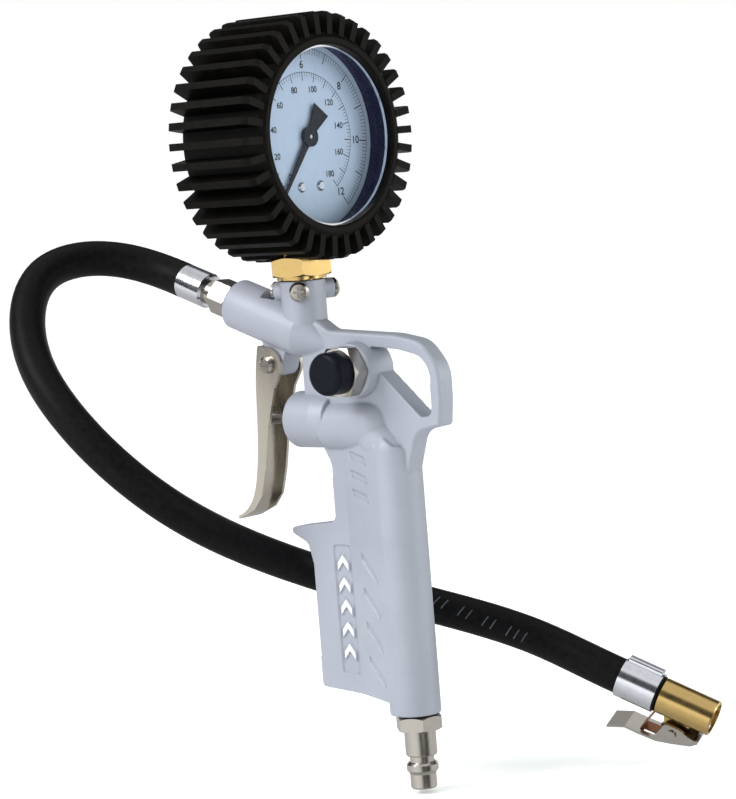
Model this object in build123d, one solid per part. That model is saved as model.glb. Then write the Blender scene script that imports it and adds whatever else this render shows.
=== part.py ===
from build123d import *
from math import cos, pi, radians, sin, sqrt, tan
import os

# Hand-held tyre inflator with a swivelling pressure gauge, a whip hose and a clip-on chuck.
# Millimetres. +Z runs up the grip, +X is the rear that faces the user, the hose leaves towards
# -X, and -Y is the side with the deflate button. The origin is the centre of the inlet plug's nose.

# ---------------------------------------------------------------- driving dimensions
RUNNING = 0.05               # radial clearance of every turning or sliding fit

# Inlet plug
PLUG_BORE_R = 3.0
PLUG_SHANK_R = 6.0
PLUG_HEX_Z = 22.4
PLUG_HEX_FLATS = 16.0
PLUG_SEAL_Z = 27.9
THREAD_R = 6.5
THREAD_TOP_Z = 38.8

# Grip: a tube with a web in front of it
GRIP_BOTTOM_Z = 28.7
GRIP_X = -1.2                # centre line of the grip tube
GRIP_R = 9.7
GRIP_TOP_Z = 128.0
WEB_HALF = 4.2               # half thickness of the front web and of the head plate
WEB_TAPER_X = -24.0          # where the web has tapered down to its full thinness
HOOK_FRONT_X = -56.0
MARK_DEPTH = 0.6

# Air passages
CHANNEL_R = 4.0
CHANNEL_TOP_Z = 122.0
DRILLING_R = 2.8
OUTLET_X = -36.0

# Main valve, along X
VALVE_Z = 140.3
VALVE_BOSS_R = 10.9
BLOCK_Z = 138.3              # axis of the rounded block behind the valve boss
ELBOW_R = 9.0
VALVE_FRONT_X = -50.0
VALVE_BORE_R = 6.0
CHAMBER_END_X = -6.0
SEAT_FACE_X = -26.0
PIN_R = 2.0
PIN_TIP_X = -64.1
VALVE_DISC_R = 4.5
VALVE_DISC_LENGTH = 2.5

# Barrel, towards the hose
POST_X = -41.6               # axis of the gauge post and of the gauge swivel
BARREL_START_Z = 173.6       # height at which the barrel axis meets the post axis
BARREL_ANGLE = 19.0
BARREL_R = 9.9
BARREL_LENGTH = 37.9         # from the post axis to the flat end
BARREL_TAIL = 14.0           # length of the cone that fades into the head plate
BARREL_BORE_R = 4.6

# Gauge post
POST_R = 8.6
POST_TOP_Z = 194.0
POST_BORE_R = 6.0
POST_FLOOR_Z = 171.5
SCREW_Z = 190.0
SCREW_ANGLES = (-54.0, 66.0, 186.0)
SCREW_BOSS_REACH = 12.0
SCREW_BOSS_R = 3.9
SCREW_R = 2.0
DOG_R = 1.5
GROOVE_R = 4.5
GROOVE_HALF = 1.7
STEM_FOOT_Z = 179.0
STEM_RING_Z = 181.4
STEM_DRILLING_R = 1.5
SOCKET_HEX_Z = 195.6

# Trigger
PIVOT_X = -57.5
PIVOT_Z = 162.0
PIVOT_R = 1.75
TRIGGER_HALF = 6.3           # outside half width of the pressed channel
TRIGGER_SHEET = 1.2
LUG_HALF = 4.9

# Deflate valve, along Y
RELEASE_X = -12.6
RELEASE_Z = 159.8
RELEASE_BOSS_R = 10.35
RELEASE_FACE_Y = -10.0
RELEASE_BACK_Y = 4.2
RELEASE_NUT_FLATS = 18.0
RELEASE_NUT_LENGTH = 6.3
RELEASE_CAP_R = 8.1
RELEASE_CAP_OUT_Y = -24.0
RELEASE_SHANK = 8.5           # shank of the nut inside the boss

# Gauge: dial faces +X
GAUGE_Z = 248.0
CASE_R = 37.6
CASE_WALL = 0.8
CASE_BACK_X = -57.6
CASE_FRONT_X = -23.0
BEZEL_THICKNESS = 1.2
STEM_HOLE_R = 6.3            # hole for the brass stem in the case and in the boot
DIAL_X = -33.1               # front face of the dial
DIAL_R = 36.0
POINTER_ZERO = 37.0          # degrees from straight down to the zero mark
BOOT_BACK_X = -61.4
BOOT_FRONT_X = -19.4
BOOT_CORE_R = 38.8
BOOT_RIB_R = 46.7
BOOT_LIP_R = 34.0
RIB_COUNT = 38
RIB_THICKNESS = 2.8

# Gauge movement
GEAR_MODULE = 0.3
PINION_TEETH = 12
SECTOR_TEETH = 120           # of the full circle that the sector is cut from
SHAFT_R = 0.75
BACK_PLATE_X = -51.0
FRONT_PLATE_X = -36.0
PLATE_THICKNESS = 1.0
BOURDON_R = 27.0
BOURDON_X = -46.0
BOURDON_ARC = 262.0
TAIL_REACH = 8.6             # from the sector's arbor to the link's pin
LINK_TOP = (23.0, -1.0)      # link's upper eye: Y, and height above the pointer's axis
LINK_PIN_R = 0.55
LINK_X = -45.2

# Hose
HOSE_R = 7.0
HOSE_BORE_R = 3.5
NIPPLE_FLATS = 13.0
NIPPLE_THREAD = 14.0         # length screwed into the barrel
WASHER_THICKNESS = 0.8
NIPPLE_HEX_END = 10.0        # distances from the barrel's end face
FERRULE_START = 14.4
FERRULE_END = 28.1
FERRULE_R = 7.0
CRIMP_R = 6.2                # hose radius squeezed inside the ferrule

# Chuck at the hose's free end
CHUCK_MOUTH = (79.7, 79.0, 16.0)
CHUCK_LENGTH = 22.4
CHUCK_YAW = 20.5
CHUCK_PITCH = -25.1
CHUCK_ROLL = 25.0            # turn of the lever around the hose, away from straight down
CHUCK_R = 7.0
VALVE_SOCKET_R = 4.15
MOUTH_R = 5.8                 # wide mouth that leads the tyre valve in
SOCKET_TOP = 19.0             # heights above the chuck's hose end: the socket runs between them
SOCKET_FLOOR = 12.5
CHAMBER_R = 3.9               # air chamber behind the seal
CLAMP_R = 7.8
CLAMP_LENGTH = 15.6
CLAMP_GAP = 1.2

# Clip lever, in the chuck's own frame: distance from the axis, distance along the axis
LEVER_PIN = (12.3, 9.0)
LEVER_PIN_R = 1.4
LEVER_HALF = 5.0
LEVER_SHEET = 1.0

X_AXIS = (1, 0, 0)
Y_AXIS = (0, 1, 0)
Z_AXIS = (0, 0, 1)
BACKWARD = (-1, 0, 0)

barrel_dir = (-cos(radians(BARREL_ANGLE)), 0, sin(radians(BARREL_ANGLE)))
chuck_dir = (
    cos(radians(CHUCK_PITCH)) * cos(radians(CHUCK_YAW)),
    cos(radians(CHUCK_PITCH)) * sin(radians(CHUCK_YAW)),
    sin(radians(CHUCK_PITCH)),
)


# ---------------------------------------------------------------- shared shapes
def along(start, direction, distance):
    """Point at a distance from a start along a unit direction."""
    return tuple(s + distance * d for s, d in zip(start, direction))


def rod(start, axis, radius, length):
    return extrude(Plane(origin=start, z_dir=axis) * Circle(radius), length)


def ring(start, axis, outer, inner, length):
    return rod(start, axis, outer, length) - rod(start, axis, inner, length)


def hex_bar(start, axis, flats, length, x_dir=None):
    face = RegularPolygon(flats / 2, 6, major_radius=False)
    return extrude(Plane(origin=start, x_dir=x_dir, z_dir=axis) * face, length)


def turned_hex(start, axis, flats, length, x_dir=None):
    """Hexagon with both ends turned to a 30 degree chamfer."""
    corner = flats / sqrt(3)
    drop = (corner - flats / 2) * tan(radians(30))
    profile = Polyline(
        (0, 0), (flats / 2, 0), (corner, drop), (corner, length - drop), (flats / 2, length), (0, length), close=True
    )
    plane = Plane(origin=start, x_dir=x_dir, z_dir=axis)
    turned = revolve(Plane.XZ * make_face(profile), Axis.Z)
    return hex_bar(start, axis, flats, length, x_dir) & (plane.location * turned)


def turned(start, axis, profile):
    """Solid turned from (radius, distance along the axis) corners."""
    body = revolve(Plane.XZ * make_face(Polyline(*profile, close=True)), Axis.Z)
    return Plane(origin=start, z_dir=axis).location * body


def outline(corners):
    """Flat face from (x, z, corner radius) corners."""
    face = make_face(Polyline(*[(x, z) for x, z, _ in corners], close=True))
    for x, z, radius in corners:
        if radius > 0:
            corner = face.vertices().sort_by_distance((x, z, 0))[0]
            face = fillet(corner, radius)
    return face


def plate(corners, half):
    """Plate in the XZ plane, centred on Y = 0."""
    return extrude(Plane.XZ * outline(corners), half, both=True)


def coil(start, axis, coil_r, wire_r, length, turns):
    """Compression spring whose wire centre runs from end to end."""
    path = Helix(pitch=(length - 2 * wire_r) / turns, height=length - 2 * wire_r, radius=coil_r)
    wire = sweep(Plane(origin=path @ 0, z_dir=path % 0) * Circle(wire_r), path)
    return Plane(origin=along(start, axis, wire_r), z_dir=axis).location * wire


def outward(angle):
    """Level direction at an angle around the gauge post."""
    return (cos(radians(angle)), sin(radians(angle)), 0)


barrel_start = (POST_X, 0, BARREL_START_Z)
barrel_end = along(barrel_start, barrel_dir, BARREL_LENGTH)


# ---------------------------------------------------------------- cast gun
def web_section(inset):
    """Web in front of the grip tube and tapering into it, seen from above."""
    tube_r = GRIP_R - inset
    half = WEB_HALF - inset
    lean = radians(105)
    touch_x = GRIP_X + tube_r * cos(lean)
    touch_y = tube_r * sin(lean)
    return make_face(Polyline(
        (touch_x, touch_y), (WEB_TAPER_X, half), (HOOK_FRONT_X, half), (HOOK_FRONT_X, -half), (WEB_TAPER_X, -half),
        (touch_x, -touch_y), close=True,
    ))


def web_side():
    """Side view of the web, with the finger hook and the valley under the trigger."""
    return [
        (GRIP_X, 33.0, 0), (-12.0, 34.0, 2.0), (-44.2, 36.7, 1.5), (-43.8, 84.0, 8.0), (-46.0, 92.6, 3.0),
        (-53.4, 96.2, 1.2), (-54.2, 98.6, 1.2), (-30.6, 101.4, 3.0), (-30.4, 124.0, 6.0), (-36.0, 134.0, 0),
        (-36.0, BLOCK_Z, 0), (-10.5, BLOCK_Z, 0), (GRIP_X, GRIP_TOP_Z, 0),
    ]


def grip(inset):
    tube = rod((GRIP_X, 0, GRIP_BOTTOM_Z), Z_AXIS, GRIP_R - inset, GRIP_TOP_Z - GRIP_BOTTOM_Z)
    web = extrude(web_section(inset), BLOCK_Z)
    return tube + (web & plate(web_side(), GRIP_R))


def head_plate():
    """Flat plate that carries the valve, the post and the hanging loop."""
    outer = [
        (-42.0, 141.0, 0), (-42.0, 178.0, 0), (-33.0, 178.5, 4.0), (-27.0, 174.6, 6.0), (5.0, 172.6, 30.0),
        (18.5, 170.0, 12.0), (26.6, 160.0, 13.0), (26.4, 148.0, 20.0), (25.2, 138.3, 1.5), (13.5, 136.2, 7.0),
        (8.4, 121.0, 0), (-10.0, 121.0, 0), (-36.0, 134.0, 0),
    ]
    hole = [
        (-9.5, 168.6, 1.2), (8.0, 167.0, 16.0), (22.4, 163.5, 9.0), (21.6, 142.4, 2.6), (16.6, 141.6, 2.2),
        (-9.0, 164.6, 1.0),
    ]
    blank = chamfer_faces(plate(outer, WEB_HALF), 0.9)
    return blank - plate(hole, 2 * WEB_HALF)


def chamfer_faces(solid, size):
    """Break the two flat faces' edges of a plate."""
    edges = solid.faces().sort_by(Axis.Y)[0].edges() + solid.faces().sort_by(Axis.Y)[-1].edges()
    return chamfer(edges, size)


def capsule(start, end, radius):
    """Round-ended bar between two points."""
    span = Vector(*end) - Vector(*start)
    bar = rod(start, tuple(span.normalized()), radius, span.length)
    return bar + Pos(*start) * Sphere(radius) + Pos(*end) * Sphere(radius)


def valve_housing():
    """Round boss for the main valve, and the block that turns down into the grip."""
    front = turned((VALVE_FRONT_X, 0, VALVE_Z), X_AXIS, [
        (0, 0), (VALVE_BOSS_R - 2.2, 0), (VALVE_BOSS_R, 2.2), (VALVE_BOSS_R, 15), (GRIP_R, 21), (0, 21),
    ])
    block = rod((-32, 0, BLOCK_Z), X_AXIS, GRIP_R, 22) + Pos(-10, 0, BLOCK_Z) * Sphere(GRIP_R)
    elbow = capsule((-11.0, 0, BLOCK_Z - 0.7), (-2.0, 0, GRIP_TOP_Z - 0.5), ELBOW_R)
    shoulder = Pos(GRIP_X, 0, GRIP_TOP_Z) * Sphere(GRIP_R)
    return front + block + elbow + (shoulder & elbow_zone())


def elbow_zone():
    """Keeps the grip's domed top below the sloping line of the elbow."""
    return plate([(-20, 120, 0), (20, 120, 0), (20, 128, 0), (4, 131, 0), (-20, 150, 0)], 2 * GRIP_R)


def barrel():
    """Barrel towards the hose, turned at its end and fading into the head plate behind the post."""
    start = along(barrel_start, barrel_dir, -BARREL_TAIL)
    length = BARREL_LENGTH + BARREL_TAIL
    return turned(start, barrel_dir, [
        (0, 0), (WEB_HALF, 0), (BARREL_R, BARREL_TAIL), (BARREL_R, length - 1.6), (BARREL_R - 1.6, length),
        (0, length),
    ])


def gauge_post():
    """Upright post with three ears for the gauge's retaining screws."""
    foot_z = BARREL_START_Z - 3.0
    post = rod((POST_X, 0, foot_z), Z_AXIS, POST_R, POST_TOP_Z - foot_z)
    for angle in SCREW_ANGLES:
        post += rod((POST_X, 0, SCREW_Z), outward(angle), SCREW_BOSS_R, SCREW_BOSS_REACH)
    return post


def trigger_lug():
    """Eye under the barrel that the trigger's screw passes through."""
    back_x = PIVOT_X - 3.2
    return plate([
        (back_x, PIVOT_Z - 4.6, 3.0), (PIVOT_X + 5.0, PIVOT_Z - 4.6, 4.0), (PIVOT_X + 9.5, PIVOT_Z + 9.0, 0),
        (back_x, PIVOT_Z + 12.0, 0),
    ], LUG_HALF)


def marks(inset):
    """Sunk parallelograms on the sides of the grip, in place of cast lettering."""
    shapes = []
    for row in range(3):
        z = 127.6 - 7.2 * row
        shapes.append([(-20.4, z + 1.4), (-19.4, z - 2.0), (-9.6, z - 4.2), (-10.6, z - 0.8)])
    for row in range(4):
        z = 84.0 - 13.2 * row
        shapes.append([(-17.5, z + 6.5), (-17.5, z + 3.2), (-8.0, z - 6.0), (-8.0, z - 2.7)])
    faces = [make_face(Polyline(*shape, close=True)) for shape in shapes]
    block = extrude(Plane.XZ * Sketch(children=faces), GRIP_R, both=True)
    return block & (grip(0) - grip(inset))


def label_panel():
    """Sunk rounded panel with raised chevrons, on both sides of the web."""
    centre = Pos(-28.6, 67.4)
    width, height, rim = 10.6, 52.0, 0.9
    field = RectangleRounded(width - 2 * rim, height - 2 * rim, 1.4)
    for step in range(5):
        foot = 8.6 * step - 19.6
        field -= make_face(Polyline(
            (-3.1, foot), (0, foot + 3.6), (3.1, foot), (3.1, foot + 3.4), (0, foot + 7.0), (-3.1, foot + 3.4),
            close=True,
        ))
    groove = RectangleRounded(width, height, 2.0) - RectangleRounded(width - rim, height - rim, 1.8)
    slab = extrude(Plane.XZ * (centre * (field + groove)), WEB_HALF + 1, both=True)
    return slab - Box(200, 2 * (WEB_HALF - MARK_DEPTH), 400)


def air_ways():
    """Drilled passages: inlet, valve chamber, outlet port, barrel, post and deflate line."""
    chamber_y = RELEASE_FACE_Y + RELEASE_SHANK + 0.5
    line_end = (POST_X, 0, POST_FLOOR_Z + 4.0)
    line = Vector(*line_end) - Vector(RELEASE_X, 0, RELEASE_Z)
    ways = [
        rod((0, 0, GRIP_BOTTOM_Z), Z_AXIS, THREAD_R, THREAD_TOP_Z - GRIP_BOTTOM_Z),
        rod((0, 0, THREAD_TOP_Z), Z_AXIS, CHANNEL_R, CHANNEL_TOP_Z - THREAD_TOP_Z),
        rod((0, 0, CHANNEL_TOP_Z), Z_AXIS, DRILLING_R, VALVE_Z - CHANNEL_TOP_Z),
        rod((VALVE_FRONT_X, 0, VALVE_Z), X_AXIS, VALVE_BORE_R, CHAMBER_END_X - VALVE_FRONT_X),
        rod((CHAMBER_END_X, 0, VALVE_Z), X_AXIS, DRILLING_R, -CHAMBER_END_X),
        rod((OUTLET_X, 0, VALVE_Z), Z_AXIS, 2.0, POST_FLOOR_Z + 2.0 - VALVE_Z),
        rod(barrel_start, barrel_dir, BARREL_BORE_R, BARREL_LENGTH),
        rod((POST_X, 0, POST_FLOOR_Z), Z_AXIS, POST_BORE_R, POST_TOP_Z - POST_FLOOR_Z),
        rod((RELEASE_X, RELEASE_FACE_Y, RELEASE_Z), Y_AXIS, 6.0, RELEASE_SHANK + 0.5),
        rod((RELEASE_X, chamber_y, RELEASE_Z), Y_AXIS, 4.4, 4.2),
        rod((RELEASE_X, 0, RELEASE_Z), tuple(line.normalized()), 1.2, line.length),
        rod((PIVOT_X, -LUG_HALF, PIVOT_Z), Y_AXIS, PIVOT_R, 2 * LUG_HALF),
    ]
    for angle in SCREW_ANGLES:
        ways.append(rod((POST_X, 0, SCREW_Z), outward(angle), SCREW_R, SCREW_BOSS_REACH))
        seat = along((POST_X, 0, SCREW_Z), outward(angle), SCREW_BOSS_REACH)
        ways.append(rod(seat, outward(angle), 4.1, 6.0))
    return ways


def release_boss():
    depth = RELEASE_BACK_Y - RELEASE_FACE_Y
    return turned((RELEASE_X, RELEASE_FACE_Y, RELEASE_Z), Y_AXIS, [
        (0, 0), (RELEASE_BOSS_R - 0.6, 0), (RELEASE_BOSS_R, 0.6), (RELEASE_BOSS_R, depth), (0, depth),
    ])


def gun_body():
    body = grip(0) + head_plate() + valve_housing() + barrel() + gauge_post() + trigger_lug() + release_boss()
    body -= marks(MARK_DEPTH)
    body -= label_panel()
    for way in air_ways():
        body -= way
    return body


# ---------------------------------------------------------------- inlet
def inlet_plug():
    """Quick-connect plug: nose, locking ring, groove, shank, spanner hexagon and thread."""
    thread_end = THREAD_TOP_Z - 0.2
    body = turned((0, 0, 0), Z_AXIS, [
        (PLUG_BORE_R, 0), (4.6, 0), (5.0, 0.6), (5.0, 5.6), (5.3, 6.2), (6.0, 7.0), (6.0, 9.2), (5.4, 9.9),
        (4.6, 10.2), (4.6, 12.4), (5.6, 12.6), (PLUG_SHANK_R, 13.1), (PLUG_SHANK_R, PLUG_HEX_Z),
        (THREAD_R, PLUG_HEX_Z), (THREAD_R, thread_end), (PLUG_BORE_R, thread_end),
    ])
    hexagon = turned_hex((0, 0, PLUG_HEX_Z), Z_AXIS, PLUG_HEX_FLATS, PLUG_SEAL_Z - PLUG_HEX_Z, outward(-40))
    return body + (hexagon - rod((0, 0, 0), Z_AXIS, PLUG_BORE_R, THREAD_TOP_Z))


def plug_seal():
    return ring((0, 0, PLUG_SEAL_Z), Z_AXIS, 7.2, THREAD_R, GRIP_BOTTOM_Z - PLUG_SEAL_Z)


# ---------------------------------------------------------------- main valve
def valve_gland():
    """Screwed bush that guides the valve pin and holds its ring."""
    body = ring((VALVE_FRONT_X + 0.6, 0, VALVE_Z), X_AXIS, VALVE_BORE_R, PIN_R + RUNNING, 11.4)
    recess = ring((VALVE_FRONT_X + 8.0, 0, VALVE_Z), X_AXIS, 4.0, PIN_R, 4.0)
    return body - recess


def stem_o_ring():
    return ring((VALVE_FRONT_X + 8.2, 0, VALVE_Z), X_AXIS, 3.9, PIN_R + 0.02, 1.8)


def valve_seat():
    """Ring that the disc closes on, held between the gland side and the chamber."""
    return ring((SEAT_FACE_X - 4.0, 0, VALVE_Z), X_AXIS, VALVE_BORE_R, 3.0, 4.0)


def valve_stem():
    """Valve pin with a rounded tip and a thin tail that carries the disc."""
    length = SEAT_FACE_X - PIN_TIP_X
    return turned((PIN_TIP_X, 0, VALVE_Z), X_AXIS, [
        (0, 0), (1.2, 0), (PIN_R, 0.8), (PIN_R, length), (1.2, length),
        (1.2, length + VALVE_DISC_LENGTH), (0, length + VALVE_DISC_LENGTH),
    ])


def valve_disc():
    gap = 0.02
    return ring((SEAT_FACE_X + gap, 0, VALVE_Z), X_AXIS, VALVE_DISC_R, 1.2, VALVE_DISC_LENGTH - gap)


def valve_spring():
    start_x = SEAT_FACE_X + VALVE_DISC_LENGTH + 0.02
    return coil((start_x, 0, VALVE_Z), X_AXIS, 3.9, 0.45, CHAMBER_END_X - start_x - 0.02, 6)


# ---------------------------------------------------------------- trigger
def trigger_front():
    """Outer front line of the pressed channel, from its top to the curled tip."""
    return Spline((-62.2, 169.4), (-65.65, 140.6), (-68.3, 119.0), (-72.4, 108.2), (-80.2, 102.6))


def beside(curve, distance, count):
    """Points at a distance to the rear of a curve drawn downwards in the XZ outline plane."""
    points = []
    for index in range(count + 1):
        share = index / count
        place = curve @ share
        lean = curve % share
        points.append((place.X - lean.Y * distance, place.Y + lean.X * distance))
    return points


def trigger():
    """Pressed channel, open to the rear, with its end curled forward."""
    front = trigger_front()
    inner = Spline(*beside(front, TRIGGER_SHEET, 8))
    rear = [(-51.3, 158.8), (-55.2, 153.0), (-60.0, 138.0), (-63.4, 121.0), (-66.6, 110.5), (-71.2, 105.2)]
    top = ThreePointArc((-58.6, 168.6), (-52.9, 166.4), rear[0])
    bottom = Polyline(*rear, inner @ 1)
    side = make_face([front, Line(front @ 0, (-58.6, 168.6)), top, bottom, Line(inner @ 1, front @ 1)])
    shell = extrude(Plane.XZ * side, TRIGGER_HALF, both=True)
    room = Polyline(inner @ 0, (-62.2, 180.0), (-40.0, 180.0), (-40.0, 95.0), (-70.0, 95.0), inner @ 1)
    hollow = extrude(Plane.XZ * make_face([inner, room]), TRIGGER_HALF - TRIGGER_SHEET, both=True)
    shell -= hollow
    shell -= rod((PIVOT_X, -TRIGGER_HALF, PIVOT_Z), Y_AXIS, PIVOT_R + RUNNING, 2 * TRIGGER_HALF)
    return shell


def trigger_screw():
    """Shouldered pan-head pivot screw, entered from the button side."""
    head_y = -TRIGGER_HALF - 0.1
    body = turned((PIVOT_X, head_y - 1.9, PIVOT_Z), Y_AXIS, [
        (0, 0), (2.4, 0), (3.3, 0.7), (3.3, 1.9), (PIVOT_R, 1.9), (PIVOT_R, 1.9 + 2 * TRIGGER_HALF + 2.6),
        (0, 1.9 + 2 * TRIGGER_HALF + 2.6),
    ])
    slot = Pos(PIVOT_X, head_y - 1.9, PIVOT_Z) * Box(6.8, 1.6, 0.9)
    return body - slot


def trigger_nut():
    start = (PIVOT_X, TRIGGER_HALF + 0.1, PIVOT_Z)
    return turned_hex(start, Y_AXIS, 7.0, 2.4) - rod(start, Y_AXIS, PIVOT_R, 3)


# ---------------------------------------------------------------- deflate valve
RELEASE_NUT_Y = RELEASE_FACE_Y - RELEASE_NUT_LENGTH
RELEASE_CAP_Y = RELEASE_NUT_Y + 0.8                  # inner rim of the cap
RELEASE_SEAT_Y = RELEASE_FACE_Y + RELEASE_SHANK
SPRING_ROOM = 4.2                                    # depth of the nut's recess
CAP_ROOM = 3.0                                       # depth of the cap's hollow
STEM_R = 1.5


def release_nut():
    """Nickel valve body: hexagon with a recess for the cap, and a shank in the boss."""
    start = (RELEASE_X, RELEASE_NUT_Y, RELEASE_Z)
    body = turned_hex(start, Y_AXIS, RELEASE_NUT_FLATS, RELEASE_NUT_LENGTH, X_AXIS)
    body += rod((RELEASE_X, RELEASE_FACE_Y, RELEASE_Z), Y_AXIS, 6.0, RELEASE_SHANK)
    body -= rod(start, Y_AXIS, RELEASE_CAP_R + 0.1, SPRING_ROOM)
    return body - rod(start, Y_AXIS, STEM_R + RUNNING, 20)


def release_cap():
    """Rounded push cap with a blind socket for the stem."""
    length = RELEASE_CAP_Y - RELEASE_CAP_OUT_Y
    floor = length - CAP_ROOM
    return turned((RELEASE_X, RELEASE_CAP_OUT_Y, RELEASE_Z), Y_AXIS, [
        (0, 0), (6.6, 0), (7.5, 0.5), (RELEASE_CAP_R, 1.6), (RELEASE_CAP_R, length), (6.4, length),
        (6.4, floor), (STEM_R, floor), (STEM_R, floor - 3.0), (0, floor - 3.0),
    ])


def release_stem():
    """Stem pressed into the cap, with the valve head inside the boss."""
    start_y = RELEASE_CAP_Y - CAP_ROOM - 3.0
    head = RELEASE_SEAT_Y + 1.0 - start_y
    return turned((RELEASE_X, start_y, RELEASE_Z), Y_AXIS, [
        (0, 0), (STEM_R, 0), (STEM_R, head), (2.6, head), (2.6, head + 1.0), (0, head + 1.0),
    ])


def release_seal():
    return ring((RELEASE_X, RELEASE_SEAT_Y + 0.02, RELEASE_Z), Y_AXIS, 3.2, STEM_R, 0.96)


def release_spring():
    start_y = RELEASE_CAP_Y - CAP_ROOM + 0.02
    return coil((RELEASE_X, start_y, RELEASE_Z), Y_AXIS, 4.6, 0.4, RELEASE_NUT_Y + SPRING_ROOM - start_y - 0.02, 4)


# ---------------------------------------------------------------- gauge socket and swivel
def gauge_socket():
    """Brass stem that turns in the post, spanner hexagon, and block inside the case."""
    stem_r = POST_BORE_R - RUNNING
    flange_z = POST_TOP_Z + 0.4
    block_z = GAUGE_Z - BOURDON_R - 8.6
    block_top_z = GAUGE_Z - BOURDON_R + 1.2
    body = turned((POST_X, 0, 0), Z_AXIS, [
        (STEM_DRILLING_R, STEM_FOOT_Z), (stem_r - 0.6, STEM_FOOT_Z), (stem_r, STEM_FOOT_Z + 0.6),
        (stem_r, STEM_RING_Z), (4.6, STEM_RING_Z), (4.6, STEM_RING_Z + 2.4), (stem_r, STEM_RING_Z + 2.4),
        (stem_r, SCREW_Z - GROOVE_HALF), (GROOVE_R, SCREW_Z - GROOVE_HALF), (GROOVE_R, SCREW_Z + GROOVE_HALF),
        (stem_r, SCREW_Z + GROOVE_HALF), (stem_r, flange_z), (9.6, flange_z), (9.6, SOCKET_HEX_Z),
        (6.2, SOCKET_HEX_Z), (6.2, block_z + 1.0), (STEM_DRILLING_R, block_z + 1.0),
    ])
    body += turned_hex((POST_X, 0, SOCKET_HEX_Z), Z_AXIS, 22.4, 7.4, outward(-45))
    block_x = BACK_PLATE_X + PLATE_THICKNESS
    block = Box(FRONT_PLATE_X - block_x, 16.0, block_top_z - block_z)
    body += Pos((block_x + FRONT_PLATE_X) / 2, 0, (block_z + block_top_z) / 2) * block
    turn_z = block_z + 3.6
    body -= rod((POST_X, 0, STEM_FOOT_Z), Z_AXIS, STEM_DRILLING_R, turn_z + 1.0 - STEM_FOOT_Z)
    body -= rod((POST_X, 0, turn_z), BACKWARD, 1.0, POST_X - BOURDON_X + 1.0)
    body -= rod((BOURDON_X, 0, turn_z), Z_AXIS, 1.0, GAUGE_Z - BOURDON_R - turn_z)
    return body - bourdon_core()


def socket_o_ring():
    return ring((POST_X, 0, STEM_RING_Z + 0.2), Z_AXIS, POST_BORE_R - 0.01, 4.6, 2.0)


def socket_screws():
    """Three pan-head dog-point screws that hold the gauge in its groove."""
    screws = []
    for angle in SCREW_ANGLES:
        way = outward(angle)
        tip = along((POST_X, 0, SCREW_Z), way, GROOVE_R + 0.1)
        length = SCREW_BOSS_REACH - GROOVE_R - 0.1
        body = turned(tip, way, [
            (0, 0), (DOG_R, 0), (DOG_R, 1.5), (SCREW_R, 1.9), (SCREW_R, length), (3.8, length), (3.8, length + 1.0),
            (2.9, length + 2.1), (0, length + 2.3),
        ])
        top = along((POST_X, 0, SCREW_Z), way, SCREW_BOSS_REACH + 2.0)
        across = Plane(origin=top, x_dir=Z_AXIS, z_dir=way).location
        screws.append(body - across * (Box(3.8, 0.9, 2.0) + Box(0.9, 3.8, 2.0)))
    return Compound(children=screws)


# ---------------------------------------------------------------- gauge case and dial
def gauge_case():
    """Pressed steel cup with a hole for the stem."""
    cup = rod((CASE_BACK_X, 0, GAUGE_Z), X_AXIS, CASE_R, CASE_FRONT_X - CASE_BACK_X)
    inside = CASE_BACK_X + CASE_WALL
    cup -= rod((inside, 0, GAUGE_Z), X_AXIS, CASE_R - CASE_WALL, CASE_FRONT_X - inside)
    cup -= rod((POST_X, 0, GAUGE_Z - CASE_R - 2), Z_AXIS, STEM_HOLE_R, 8)
    return cup


def gauge_bezel():
    return ring((CASE_FRONT_X, 0, GAUGE_Z), X_AXIS, CASE_R, BOOT_LIP_R - 0.8, BEZEL_THICKNESS)


def window_gasket():
    return ring((CASE_FRONT_X - 0.7, 0, GAUGE_Z), X_AXIS, CASE_R - CASE_WALL, 35.2, 0.7)


def gauge_window():
    return rod((CASE_FRONT_X - 2.7, 0, GAUGE_Z), X_AXIS, CASE_R - CASE_WALL, 2.0)


def dial_spacer():
    """Dark ring between the dial and the window."""
    return ring((DIAL_X, 0, GAUGE_Z), X_AXIS, CASE_R - CASE_WALL, DIAL_R, CASE_FRONT_X - 2.7 - DIAL_X)


def dial_screw_places():
    return [(side * 5.3, GAUGE_Z - 18.8) for side in (-1, 1)]


def gauge_dial():
    dial = rod((DIAL_X - 0.6, 0, GAUGE_Z), X_AXIS, CASE_R - CASE_WALL, 0.6)
    dial -= rod((DIAL_X - 1, 0, GAUGE_Z), X_AXIS, 1.4, 2)
    for y, z in dial_screw_places():
        dial -= rod((DIAL_X - 1, y, z), X_AXIS, 1.0, 2)
    return dial


def dial_screws():
    screws = []
    reach = DIAL_X - FRONT_PLATE_X
    for y, z in dial_screw_places():
        body = turned((FRONT_PLATE_X, y, z), X_AXIS, [
            (0, 0), (1.0, 0), (1.0, reach), (1.9, reach), (1.9, reach + 0.5), (1.4, reach + 0.9), (0, reach + 0.9),
        ])
        screws.append(body - Pos(DIAL_X + 0.9, y, z) * Box(0.8, 4, 0.4))
    return Compound(children=screws)


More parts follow.
